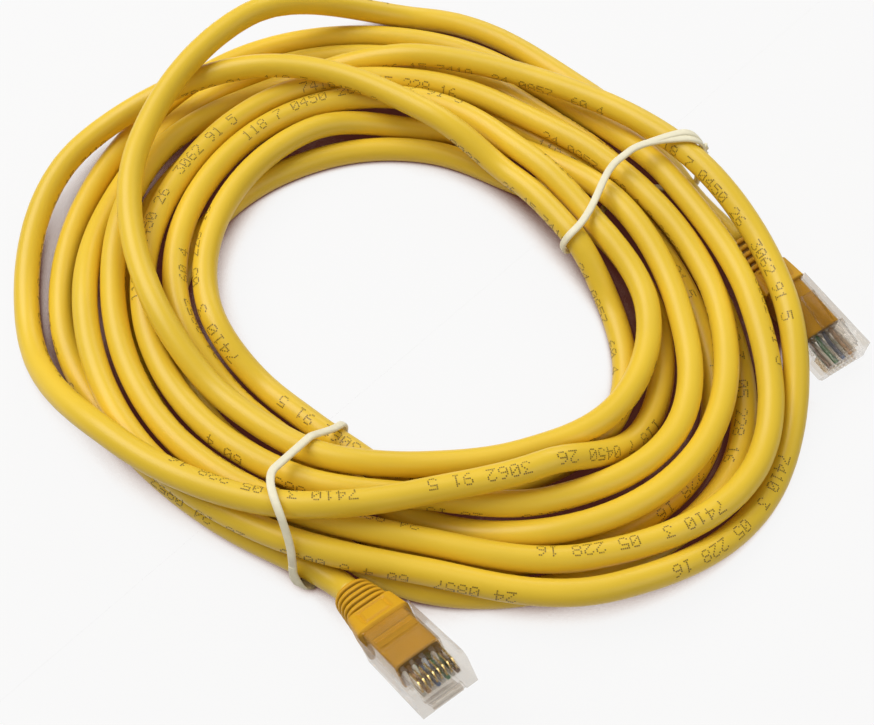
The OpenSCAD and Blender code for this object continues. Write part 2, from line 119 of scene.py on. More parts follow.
# An ink dot: its half side in dot distances, and in mm its height, depth and least height above ground.
INK_HALF = 0.36
INK_RISE = 0.02
INK_DEPTH = 0.06
INK_CLEAR = 0.4

# A boot in mm: lengths of its neck, block and tongue, the ribs, and half sizes across.
NECK_L = 9.0
BLOCK_L = 6.0
TONGUE_L = 13.2
RIBS = 5
RIB_T = 1.15
RIB_END = 0.5
BLOCK_ROUND = 0.55
TONGUE_ROUND = 0.3
TONGUE_HALF = (4.66, 2.72)
FRAME_OUTER = (2.1, 3.1)
FRAME_INNER = (1.55, 2.55)
FRAME_EDGE = 0.16
FRAME_DEPTH = 0.42
DENT = (3.4, 7.0)
DENT_Z = 2.42

# The view: eye and aim in mm. The lamps: place and size in metres, and power.
EYE = np.array([0.557, -156.256, 256.34])
AIM = np.array([0.557, -8.256, 0.0])
LAMPS = (("key", (-0.45, 0.25, 0.75), 0.7, 6.6),
         ("fill", (0.55, -0.45, 0.55), 0.6, 1.5),
         ("rim", (0.25, 0.75, 0.45), 0.5, 1.8))
FLOOR_REACH = 12.0
# The floor under the rear plug's clear nose, where painted light lifts the floor's painted shade, and how
# far round it that reaches, in metres.
PAINTED_LIGHT_SPOT = (0.0869, -0.0077, 0.0)
PAINTED_LIGHT_REACH = 0.010

WIRE_SLOTS = ("wire_white_orange", "wire_orange", "wire_white_green", "wire_blue",
              "wire_white_blue", "wire_green", "wire_white_brown", "wire_brown")
WIRE_FADE = 0.45


def smooth(f):
    """Smoothstep: 3 f^2 - 2 f^3, with f held between 0 and 1."""
    f = np.clip(f, 0.0, 1.0)
    return f * f * (3 - 2 * f)


def lay_angle(t):
    """Angle in degrees at station t, from the left over the far side."""
    return START + STATION * t


def lay_r(t):
    """Distance from the coil's middle: a cubic through four neighbouring chart values."""
    i = np.clip(np.floor(t).astype(int), 0, LAST - 1)
    f = t - i
    a = LAY[np.clip(i - 1, 0, LAST)]
    b = LAY[i]
    c = LAY[i + 1]
    d = LAY[np.clip(i + 2, 0, LAST)]
    return b + f / 2 * (c - a + f * (2 * a - 5 * b + 4 * c - d + f * (3 * (b - c) + d - a)))


def tie_bump(angle, tie):
    """Share of the lift near a tie: 1 within 10 degrees, smoothly 0 at 34 degrees."""
    apart = np.abs((angle - tie + 540) % 360 - 180)
    return smooth((TIE_BUMP_END - apart) / (TIE_BUMP_END - TIE_BUMP_FULL))


def lay_z(t):
    """Height: rest height, the layer eased between stations, and the lift at the ties."""
    i = np.clip(np.floor(t).astype(int), 0, LAST - 1)
    layer = LAYER[i] + (LAYER[i + 1] - LAYER[i]) * smooth(t - i)
    angle = lay_angle(t)
    lift = TIE_LIFT * np.maximum(tie_bump(angle, LEFT_TIE), tie_bump(angle, RIGHT_TIE))
    return REST_Z + LAYER_H * layer + lift


def polar(angle, r, z):
    """Points in mm from an angle, a distance from the coil's middle and a height."""
    a = np.radians(angle)
    return np.stack([COIL_AT[0] - r * np.cos(a), COIL_AT[1] + r * np.sin(a), z], axis=-1)


def heading_vector(plug):
    """Unit vector along a plug, from its boot to its nose."""
    h = math.radians(plug["heading"])
    e = math.radians(plug["tilt"])
    return np.array([math.cos(e) * math.cos(h), math.cos(e) * math.sin(h), math.sin(e)])


def link(p, a, q, b, count):
    """Cubic Hermite points from p with direction a to q with direction b, ends left out."""
    f = (np.arange(1, count + 1) / (count + 1))[:, None]
    s = np.linalg.norm(q - p)
    return (p * (1 + 2 * f) * (1 - f) ** 2 + a * s * f * (1 - f) ** 2
            + q * f * f * (3 - 2 * f) - b * s * f * f * (1 - f))


def unit(v):
    """Vectors scaled to length 1 along the last axis."""
    return v / np.linalg.norm(v, axis=-1, keepdims=True)


def route_points():
    """The whole route in mm, boot to boot, straight for a short lead at each end."""
    t = np.arange(0, LAST + 1e-6, 1 / STEPS_PER_STATION)
    middle = polar(lay_angle(t), lay_r(t), lay_z(t))
    u = heading_vector(PLUGS["front"])
    w = heading_vector(PLUGS["rear"])
    start = PLUGS["front"]["at"]
    stop = PLUGS["rear"]["at"]
    leave = start - LEAD_L * u
    arrive = stop - LEAD_L * w
    first = unit(middle[1] - middle[0])
    last = unit(middle[-1] - middle[-2])
    return np.concatenate([
        np.linspace(start, leave, LEAD_POINTS), link(leave, -u, middle[0], first, LINK_POINTS), middle,
        link(middle[-1], last, arrive, w, LINK_POINTS), np.linspace(arrive, stop, LEAD_POINTS)])


def resample(points, step):
    """Points an even step apart along a route, and their distances along it."""
    gone = np.concatenate([[0], np.cumsum(np.linalg.norm(np.diff(points, axis=0), axis=1))])
    s = np.linspace(0, gone[-1], int(round(gone[-1] / step)) + 1)
    return np.stack([np.interp(s, gone, points[:, k]) for k in range(3)], axis=1), s


def frames(points):
    """Side and up vectors across a route that never runs upright."""
    along = unit(np.gradient(points, axis=0))
    side = unit(np.cross(along, [0.0, 0.0, 1.0]))
    return side, np.cross(side, along)


def plug_place(name, local):
    """Points of a plug's own frame in mm, placed in the part.

    In that frame x is 0 at the housing's rear face and grows towards the nose, and z points
    to the contact side. The roll turns about x, then the tilt about y and the heading about z.
    """
    plug = PLUGS[name]
    x = local[..., 0] + BOOT_L
    roll = math.radians(plug["roll"])
    y = local[..., 1] * math.cos(roll) - local[..., 2] * math.sin(roll)
    z = local[..., 1] * math.sin(roll) + local[..., 2] * math.cos(roll)
    e = math.radians(plug["tilt"])
    h = math.radians(plug["heading"])
    flat = x * math.cos(e) - z * math.sin(e)
    tall = x * math.sin(e) + z * math.cos(e)
    east = flat * math.cos(h) - y * math.sin(h)
    north = flat * math.sin(h) + y * math.cos(h)
    return np.stack([east, north, tall], axis=-1) + plug["at"]


def settings():
    """The values that a user may change."""
    return bpy.context.scene.patch_cable


def new_object(name, vertices, faces, material, smooth_faces=True):
    """A mesh object from points in metres and lists of face corners, at the origin."""
    mesh = bpy.data.meshes.new(name)
    mesh.from_pydata(vertices.reshape(-1, 3).tolist(), [], faces)
    mesh.polygons.foreach_set("use_smooth", np.full(len(mesh.polygons), smooth_faces))
    mesh.materials.append(material)
    mesh.update()
    obj = bpy.data.objects.new(name, mesh)
    bpy.context.scene.collection.objects.link(obj)
    return obj


def grid_faces(rows, columns, closed=False):
    """Quads of rows of closed rings; the last row joins the first where the rows are closed too."""
    i, j = np.meshgrid(np.arange(rows if closed else rows - 1), np.arange(columns), indexing="ij")
    i2 = (i + 1) % rows
    j2 = (j + 1) % columns
    quads = np.stack([i * columns + j, i * columns + j2, i2 * columns + j2, i2 * columns + j], axis=-1)
    return quads.reshape(-1, 4)


def end_faces(rows, columns, base=0):
    """Flat faces on the first and the last ring of a grid whose points start at base."""
    ring = [base + k for k in range(columns)]
    return [ring[::-1], [(rows - 1) * columns + k for k in ring]]


def grid_object(name, points, material, uv_rows):
    """A skin over a grid of points in metres: rows of closed rings, with flat end faces.

    The UV map holds each row's value from uv_rows and the share of the way round the ring.
    """
    rows, columns = points.shape[:2]
    quads = grid_faces(rows, columns)
    obj = new_object(name, points, quads.tolist() + end_faces(rows, columns), material)
    layer = obj.data.uv_layers.new(name="UVMap")
    i, j = np.meshgrid(np.arange(rows - 1), np.arange(columns), indexing="ij")
    along = uv_rows[np.stack([i, i, i + 1, i + 1], axis=-1)]
    around = np.stack([j, j + 1, j + 1, j], axis=-1) / columns
    uv = np.zeros((len(obj.data.loops), 2), dtype=np.float32)
    uv[:quads.size, 0] = along.reshape(-1)
    uv[:quads.size, 1] = around.reshape(-1)
    layer.data.foreach_set("uv", uv.reshape(-1))
    return obj


def grids_object(name, loop, laps, material):
    """One piece of a closed loop of rings and some short lengths of rings with flat ends."""
    points = [loop.reshape(-1, 3)]
    faces = grid_faces(loop.shape[0], loop.shape[1], True).tolist()
    base = len(points[0])
    for lap in laps:
        rows, columns = lap.shape[:2]
        faces += (grid_faces(rows, columns) + base).tolist() + end_faces(rows, columns, base)
        points.append(lap.reshape(-1, 3))
        base += rows * columns
    return new_object(name, np.concatenate(points), faces, material)


class Value:
    """A shader socket whose sums and products add Math nodes."""

    def __init__(self, shade, socket):
        self.shade = shade
        self.socket = socket

    def _math(self, operation, first, second):
        node = self.shade.node("ShaderNodeMath", {"operation": operation}, {0: first, 1: second})
        return Value(self.shade, node.outputs[0])

    def __add__(self, other):
        return self._math("ADD", self, other)

    __radd__ = __add__

    def __rsub__(self, other):
        return self._math("SUBTRACT", other, self)

    def __mul__(self, other):
        return self._math("MULTIPLY", self, other)

    __rmul__ = __mul__

    def above(self, edge, soft):
        """0 below an edge and 1 above it, eased over a soft width."""
        node = self.shade.node("ShaderNodeMapRange", {"interpolation_type": "SMOOTHSTEP"},
                               {"Value": self, "From Min": edge - soft, "From Max": edge + soft})
        return Value(self.shade, node.outputs["Result"])

    def sine(self):
        """The sine of a value in radians."""
        return self._math("SINE", self, 0.0)


class Shade:
    """A material and its node tree, with one method that adds any node."""

    def __init__(self, name):
        self.material = bpy.data.materials.new(name)
        self.material.use_nodes = True
        self.tree = self.material.node_tree
        self.bsdf = self.tree.nodes["Principled BSDF"]
        self.output = self.tree.nodes["Material Output"]

    def link(self, target, value):
        """Give a socket a value, or a link where the value is a socket."""
        if isinstance(value, Value):
            value = value.socket
        if isinstance(value, bpy.types.NodeSocket):
            self.tree.links.new(value, target)
        else:
            target.default_value = value

    def node(self, kind, setup=None, inputs=None):
        """Add a node of a type, set it up, then fill or link its sockets."""
        node = self.tree.nodes.new(kind)
        for key, value in (setup or {}).items():
            setattr(node, key, value)
        for key, value in (inputs or {}).items():
            self.link(node.inputs[key], value)
        return node

    def set(self, **sockets):
        """Fill the surface shader's sockets; underscores stand for spaces."""
        for key, value in sockets.items():
            self.link(self.bsdf.inputs[key.replace("_", " ")], value)
        return self

    def place(self):
        """Object coordinates of the surface, in metres."""
        return self.node("ShaderNodeTexCoord").outputs["Object"]

    def uv(self):
        """The UV map's two values: along the piece in metres, and the share round it."""
        source = self.node("ShaderNodeUVMap", {"uv_map": "UVMap"})
        parts = self.node("ShaderNodeSeparateXYZ", None, {0: source.outputs[0]})
        return Value(self, parts.outputs[0]), Value(self, parts.outputs[1])

    def noise(self, scale, detail=2.0, rough=0.5):
        """Noise between 0 and 1 over Object coordinates, at a scale per metre."""
        node = self.node("ShaderNodeTexNoise", None, {
            "Vector": self.place(), "Scale": scale, "Detail": detail, "Roughness": rough})
        return Value(self, node.outputs[0])

    def mix(self, share, low, high):
        """Two colours mixed by a share."""
        node = self.node("ShaderNodeMix", {"data_type": "RGBA"})
        self.link(node.inputs[0], share)
        self.link(node.inputs[6], low)
        self.link(node.inputs[7], high)
        return node.outputs[2]

    def bump(self, height, strength, distance):
        """A bumped normal from a height value; distance in metres."""
        node = self.node("ShaderNodeBump", None, {"Strength": strength, "Distance": distance,
                                                  "Height": height})
        return node.outputs[0]


def rgba(colour):
    """A colour of three values with full alpha."""
    return (colour[0], colour[1], colour[2], 1.0)


def scaled(colour, factor):
    """A colour made lighter or darker by a factor."""
    return tuple(c * factor for c in colour[:3]) + (1.0,)


def muted(colour, share):
    """A colour drawn by a share towards the grey of its own mean."""
    grey = sum(colour[:3]) / 3
    return tuple(c + (grey - c) * share for c in colour[:3])


def jacket_material():
    """Satin yellow jacket: faint cloudiness, the lay of the pairs under it, and a fine grain."""
    s = Shade("jacket_satin_yellow")
    base = settings().jacket_colour
    along, around = s.uv()
    cloud = s.noise(28.0, 3.0)
    grain = s.noise(2600.0, 2.0, 0.6)
    lay = (along * (2 * math.pi / PAIR_LAY) + around * (4 * math.pi)).sine() * 0.5 + 0.5
    tone = s.mix(cloud.above(0.55, 0.3), scaled(base, 0.93), scaled(base, 1.06))
    tone = s.mix(lay * 0.10, tone, scaled(base, 0.86))
    s.set(Base_Color=tone, Roughness=grain * 0.10 + 0.33, Normal=s.bump(
        lay * 0.5 + grain * 0.16 + cloud * 0.3, 0.32, 0.0002))
    s.set(Specular_IOR_Level=0.42)
    return s.material


def inner_jacket_material():
    """The cable's stripped end inside a plug: the jacket's yellow without its UV detail."""
    s = Shade("jacket_end_yellow")
    base = settings().jacket_colour
    cloud = s.noise(300.0, 3.0)
    s.set(Base_Color=s.mix(cloud, scaled(base, 0.85), scaled(base, 1.0)), Roughness=cloud * 0.1 + 0.38)
    return s.material


def print_material():
    """Dark ink of the printed figures, worn in places."""
    s = Shade("print_ink_brown")
    ink = settings().ink_colour
    worn = s.noise(900.0, 3.0).above(0.62, 0.12)
    s.set(Base_Color=s.mix(worn * 0.7, rgba(ink), scaled(settings().jacket_colour, 0.8)),
          Roughness=worn * 0.2 + 0.45)
    return s.material


def boot_material():
    """Orange-yellow moulded boot: a fine matt grain, and painted shade in the grooves between the ribs,
    where its UV map tells a groove.
    """
    s = Shade("boot_moulded_orange_groove_shade")
    base = settings().boot_colour
    cloud = s.noise(160.0, 3.0)
    grain = s.noise(5200.0, 2.0, 0.6)
    unshaded_share, _ = s.uv()
    tone = s.mix(cloud.above(0.5, 0.3), scaled(base, 0.92), scaled(base, 1.05))
    # Painted shade: the grooves between the ribs go down to 0.36 of the boot's colour.
    tone = s.mix(unshaded_share.above(0.5, 0.5), scaled(base, 0.36), tone)
    s.set(Base_Color=tone, Roughness=grain * 0.14 + 0.40,
          Normal=s.bump(grain, 0.22, 0.00008))
    s.set(Specular_IOR_Level=0.32)
    return s.material


def clear_material():
    """Clear moulded plastic: glass over a see-through share that lets light reach the inside."""
    s = Shade("clear_polycarbonate")
    haze = s.noise(420.0, 4.0, 0.6)
    s.set(Base_Color=s.mix(haze.above(0.6, 0.25), (0.74, 0.71, 0.71, 1.0), (0.64, 0.60, 0.60, 1.0)),
          Roughness=haze * 0.08 + 0.03)
    s.set(Transmission_Weight=0.97, IOR=1.45)
    edge = Value(s, s.node("ShaderNodeLayerWeight", None, {"Blend": 0.35}).outputs["Facing"])
    through = s.node("ShaderNodeBsdfTransparent", None, {"Color": (0.92, 0.90, 0.868, 1.0)})
    blend = s.node("ShaderNodeMixShader", None, {1: through.outputs[0], 2: s.bsdf.outputs[0]})
    s.link(blend.inputs[0], edge * 0.62 + 0.02)
    s.link(s.output.inputs["Surface"], blend.outputs[0])
    return s.material


def gold_material():
    """Gold-plated contact with light wiping marks."""
    s = Shade("contact_gold")
    wipe = s.noise(2400.0, 3.0)
    s.set(Base_Color=s.mix(wipe, (0.60, 0.40, 0.13, 1.0), (0.82, 0.62, 0.28, 1.0)),
          Roughness=wipe * 0.2 + 0.16, Metallic=1.0)
    return s.material


def wire_material(slot, striped):
    """Wire insulation; the pale wires carry bands of their pair's colour."""
    s = Shade("insulation_" + slot)
    colour = [m["base_color"] for m in frame["record"]["materials"] if m["slot"] == slot][0]
    colour = muted(colour, WIRE_FADE)
    speck = s.noise(3000.0, 2.0)
    if striped:
        wave = s.node("ShaderNodeTexWave", {"wave_type": "BANDS", "bands_direction": "DIAGONAL"},
                      {"Vector": s.place(), "Scale": 260.0, "Distortion": 1.2})
        band = Value(s, wave.outputs["Fac"]).above(0.62, 0.08)
        tone = s.mix(band, (0.80, 0.78, 0.74, 1.0), scaled(colour, 0.85))
    else:
        tone = s.mix(speck * 0.4, scaled(colour, 1.0), scaled(colour, 0.75))
    s.set(Base_Color=tone, Roughness=speck * 0.15 + 0.35)
    return s.material


def tie_material():
    """Off-white tie: matt plastic with a faint crease pattern."""
    s = Shade("tie_off_white")
    base = settings().tie_colour
    crease = s.noise(900.0, 4.0, 0.65)
    s.set(Base_Color=s.mix(crease.above(0.5, 0.25), scaled(base, 0.93), rgba(base)),
          Roughness=crease * 0.2 + 0.38, Normal=s.bump(crease, 0.25, 0.0001))
    return s.material


def steel_material():
    """Plain drawn steel wire inside a tie."""
    s = Shade("tie_wire_steel")
    drawn = s.noise(4000.0, 2.0)
    s.set(Base_Color=s.mix(drawn, (0.42, 0.42, 0.44, 1.0), (0.62, 0.62, 0.64, 1.0)),
          Roughness=drawn * 0.2 + 0.25, Metallic=1.0)
    return s.material


def floor_material():
    """White floor with painted shade: its white darkens towards a warm maroon, green and blue first, where
    pieces stand close round a spot.

    Under the rear plug's clear nose a painted light spot lifts most of that painted shade.
    """
    s = Shade("floor_white_painted_shade")
    path = s.node("ShaderNodeLightPath")
    seen = Value(s, path.outputs["Is Camera Ray"]) + Value(s, path.outputs["Is Glossy Ray"])
    seen = seen + Value(s, path.outputs["Is Transmission Ray"])
    # Painted shade: ambient occlusion finds the nooks between strands, where the floor is darkened.
    shade_nook_ao = s.node("ShaderNodeAmbientOcclusion", {"samples": 16}, {"Distance": 0.02})
    share = Value(s, shade_nook_ao.outputs["AO"])
    # Painted light: round the rear plug's nose the painted shade is mostly lifted.
    away = s.node("ShaderNodeVectorMath", {"operation": "DISTANCE"}, {0: s.place(), 1: PAINTED_LIGHT_SPOT})
    nose_painted_light = 1 - Value(s, away.outputs["Value"]).above(PAINTED_LIGHT_REACH, 0.002)
    share = share + (1 - share) * nose_painted_light * 0.8
    # Painted shade: the emitted white drops to a warm maroon in those nooks, red last.
    painted_shade_tint = s.node("ShaderNodeCombineColor", None, {
        0: share.above(0.39, 0.19) * 0.95 + 0.05, 1: share.above(0.41, 0.19) * 0.988 + 0.012,
        2: share.above(0.42, 0.19) * 0.992 + 0.008})
    # Painted shade: the base colour turns dark maroon in the same nooks.
    s.set(Base_Color=s.mix(share.above(0.39, 0.19), (0.12, 0.045, 0.03, 1.0), (0.50, 0.47, 0.45, 1.0)),
          Roughness=0.9)
    white = s.node("ShaderNodeEmission", None, {"Color": painted_shade_tint.outputs[0], "Strength": 1.0})
    blend = s.node("ShaderNodeMixShader", None, {1: s.bsdf.outputs[0], 2: white.outputs[0]})
    s.link(blend.inputs[0], seen.above(0.5, 0.4) * 0.90)
    s.link(s.output.inputs["Surface"], blend.outputs[0])
    return s.material


# Seven rows of five dots for each figure, top row first; a row's bits run left to right.
FIGURES = np.array([
    [14, 17, 19, 21, 25, 17, 14], [4, 12, 4, 4, 4, 4, 14], [14, 17, 1, 2, 4, 8, 31],
    [31, 2, 4, 2, 1, 17, 14], [2, 6, 10, 18, 31, 2, 2], [31, 16, 30, 1, 1, 17, 14],
    [6, 8, 16, 30, 17, 17, 14], [31, 1, 2, 4, 8, 8, 8], [14, 17, 17, 14, 17, 17, 14],
    [14, 17, 17, 15, 1, 2, 12]])
PRINT_LINES = ("24 0857  60 4 8 0093   26 15 7410", "3062 91  118 7  0450 2",
               "0093   26 15 7410  24 0857  60 4", "118 7 0450 26  3062 91 5",
               "7410 3  05 228 16")


def figure_dots(text):
    """Places of the ink dots of a line of figures, in dots: along the line and up."""
    spots = []
    for place, figure in enumerate(text):
        if figure == " ":
            continue
        grid = FIGURES[int(figure)][:, None] >> np.arange(4, -1, -1) & 1
        up, right = np.nonzero(grid)
        spots.append(np.stack([place * 6 + right, 3 - up], axis=1))
    return np.concatenate(spots)


def tie_slant(tie, r):
    """Turn of a tie's line in degrees, by the distance from the coil's middle in mm."""
    if tie == LEFT_TIE:
        return -11.0 * smooth((r - 52) / 14) - 2.0 * smooth((42 - r) / 8)
    return 12.0 * smooth((55 - r) / 22) + 8.0 * smooth((r - 58) / 20)


def bundle_at(tie):
    """Where the turns meet a tie's slanted line: distances and heights in mm.

    Each turn's station is found by stepping to the angle that the slant gives at its distance.
    """
    base = np.arange(((tie - START) % 360) / STATION, LAST, PER_TURN)
    t = base.copy()
    for _ in range(8):
        t = np.clip(base + tie_slant(tie, lay_r(t)) / STATION, 0, LAST)
    return lay_r(t), lay_z(t)


def hull_outline(r, z, margin, floor):
    """Outline round circles at (r, z): in each direction the furthest circle's edge point."""
    turn = np.linspace(0, 2 * np.pi, 720, endpoint=False)
    n = np.stack([np.cos(turn), np.sin(turn)], axis=1)
    centres = np.stack([r, z], axis=1)
    best = np.argmax(n @ centres.T, axis=1)
    edge = centres[best] + margin * n
    edge[:, 1] = np.maximum(edge[:, 1], floor)
    edge = np.concatenate([edge, edge[:1]])
    gone = np.concatenate([[0], np.cumsum(np.linalg.norm(np.diff(edge, axis=0), axis=1))])
    s = np.linspace(0, gone[-1], 260, endpoint=False)
    return np.stack([np.interp(s, gone, edge[:, k]) for k in range(2)], axis=1)


class CableSettings(bpy.types.PropertyGroup):
    """Sizes and colours of the dressed cable."""

    cable_d: FloatProperty(name="Cable diameter", description="Outside diameter of the jacket",
                           default=CABLE_D * MM, unit="LENGTH")
    ring_step: FloatProperty(name="Ring step", description="Distance between rings of the jacket",
                             default=2.4 * MM, unit="LENGTH")
    sides: IntProperty(name="Sides", description="Sides of the jacket's rings", default=24, min=12)
    dot: FloatProperty(name="Print dot", description="Distance between dots of the print",
                       default=0.39 * MM, unit="LENGTH")
    tie_w: FloatProperty(name="Tie width", description="Width of a tie", default=1.7 * MM,
                         unit="LENGTH")
    tie_t: FloatProperty(name="Tie thickness", description="Thickness of a tie", default=0.9 * MM,
                         unit="LENGTH")
    jacket_colour: FloatVectorProperty(name="Jacket", description="Colour of the jacket",
                                       subtype="COLOR", default=(0.87, 0.583, 0.037))
    boot_colour: FloatVectorProperty(name="Boot", description="Colour of the boots",
                                     subtype="COLOR", default=(0.71, 0.37, 0.011))
    ink_colour: FloatVectorProperty(name="Ink", description="Colour of the print",
                                    subtype="COLOR", default=(0.20, 0.115, 0.012))
    tie_colour: FloatVectorProperty(name="Tie", description="Colour of the ties",
                                    subtype="COLOR", default=(0.93, 0.865, 0.63))
    lens: FloatProperty(name="Lens", description="Focal length for a 36 mm sensor", default=55.62)


class CABLE_OT_stage(bpy.types.Operator):
    """Camera, floor, lamps and world"""

    bl_idname = "cable.stage"
    bl_label = "Stage"

    def execute(self, context):
        scene = context.scene
        scene.view_settings.view_transform = "Standard"
        eye = EYE * MM
        aim = AIM * MM
        camera = bpy.data.objects.new("camera", bpy.data.cameras.new("camera"))
        camera.data.lens = settings().lens
        camera.data.sensor_width = 36.0
        camera.data.clip_start = 0.01
        scene.collection.objects.link(camera)
        camera.location = eye
        down = math.atan2(eye[2] - aim[2], aim[1] - eye[1])
        camera.rotation_euler = (math.pi / 2 - down, 0.0, 0.0)
        scene.camera = camera

        far = FLOOR_REACH
        corners = np.array([[-far, -far, 0], [far, -far, 0], [far, far, 0], [-far, far, 0]])
        floor = new_object("floor", corners, [[0, 1, 2, 3]], floor_material(), False)

        for name, spot, size, power in LAMPS:
            lamp = bpy.data.objects.new(name, bpy.data.lights.new(name, "AREA"))
            lamp.data.size = size
            lamp.data.energy = power
            scene.collection.objects.link(lamp)
            lamp.location = spot
            aim_at = -np.array(spot)
            yaw = math.atan2(aim_at[1], aim_at[0])
            pitch = math.atan2(aim_at[2], math.hypot(aim_at[0], aim_at[1]))
            lamp.rotation_euler = (math.pi / 2 + pitch, 0.0, yaw - math.pi / 2)

        world = bpy.data.worlds.new("studio")
        world.use_nodes = True
        tree = world.node_tree
        light = tree.nodes["Background"]
        light.inputs["Color"].default_value = (1, 1, 1, 1)
        light.inputs["Strength"].default_value = 0.24
        white = tree.nodes.new("ShaderNodeBackground")
        white.inputs["Strength"].default_value = 0.94
        white.inputs["Color"].default_value = (1, 1, 1, 1)
        path = tree.nodes.new("ShaderNodeLightPath")
        blend = tree.nodes.new("ShaderNodeMixShader")
        tree.links.new(path.outputs["Is Camera Ray"], blend.inputs[0])
        tree.links.new(light.outputs[0], blend.inputs[1])
        tree.links.new(white.outputs[0], blend.inputs[2])
        tree.links.new(blend.outputs[0], tree.nodes["World Output"].inputs["Surface"])
        scene.world = world
        return {"FINISHED"}


class CABLE_OT_jacket(bpy.types.Operator):
    """The cable from boot to boot, and the figures printed on it"""

    bl_idname = "cable.jacket"
    bl_label = "Jacket"

    def execute(self, context):
        values = settings()
        radius = values.cable_d / 2
        path, gone = resample(route_points() * MM, values.ring_step)
        side, up = frames(path)
        turn = np.linspace(0, 2 * np.pi, values.sides, endpoint=False)
        ring = (np.cos(turn)[None, :, None] * side[:, None, :]
                + np.sin(turn)[None, :, None] * up[:, None, :])
        skin = path[:, None, :] + radius * ring
        skin[..., 2] = np.maximum(skin[..., 2], 0.00002)
        cable = grid_object("cable_jacket", skin, jacket_material(), uv_rows=gone)
        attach(cable, BODY)
        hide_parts("cable_coil")
        self.print_figures(path, gone, radius)
        return {"FINISHED"}

    def print_figures(self, path, gone, radius):
        """Lines of ink dots on the jacket, turning slowly round it along the cable.

        A dot is a flat square closed by four flanks to a point inside the jacket.
        """
        dot = settings().dot
        side, up = frames(path)
        spots = []
        start = PRINT_START
        count = 0
        while True:
            line = figure_dots(PRINT_LINES[count % len(PRINT_LINES)]) * dot
            if start + line[:, 0].max() > gone[-1] - PRINT_END:
                break
            spots.append(line + [start, 0.0])
            start += line[:, 0].max() + PRINT_GAP + PRINT_GAP_SWAY * math.sin(2.4 * count)
            count += 1
        s, tall = np.concatenate(spots).T
        middle = np.radians(PRINT_TOP) + np.radians(PRINT_SWING) * np.sin(2 * np.pi * s / PRINT_SWAY_L)
        corner = np.array([[-1, -1], [1, -1], [1, 1], [-1, 1], [0, 0]]) * dot * INK_HALF
        height = np.array([INK_RISE, INK_RISE, INK_RISE, INK_RISE, -INK_DEPTH]) * MM
        s4 = s[:, None] + corner[None, :, 0]
        a4 = middle[:, None] + (tall[:, None] + corner[None, :, 1]) / radius

        def at(values):
            return np.stack([np.interp(s4, gone, values[:, k]) for k in range(3)], axis=-1)

        out = np.cos(a4)[..., None] * at(side) + np.sin(a4)[..., None] * at(up)
        points = at(path) + (radius + height)[None, :, None] * unit(out)
        points = points[points[..., 2].min(axis=1) > INK_CLEAR * MM]
        first = np.arange(len(points))[:, None] * len(corner)
        flanks = first[:, None] + np.array([[1, 0, 4], [2, 1, 4], [3, 2, 4], [0, 3, 4]])
        faces = (first + np.arange(4)).tolist() + flanks.reshape(-1, 3).tolist()
        marks = new_object("jacket_print", points, faces, print_material(), False)
        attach(marks, BODY)


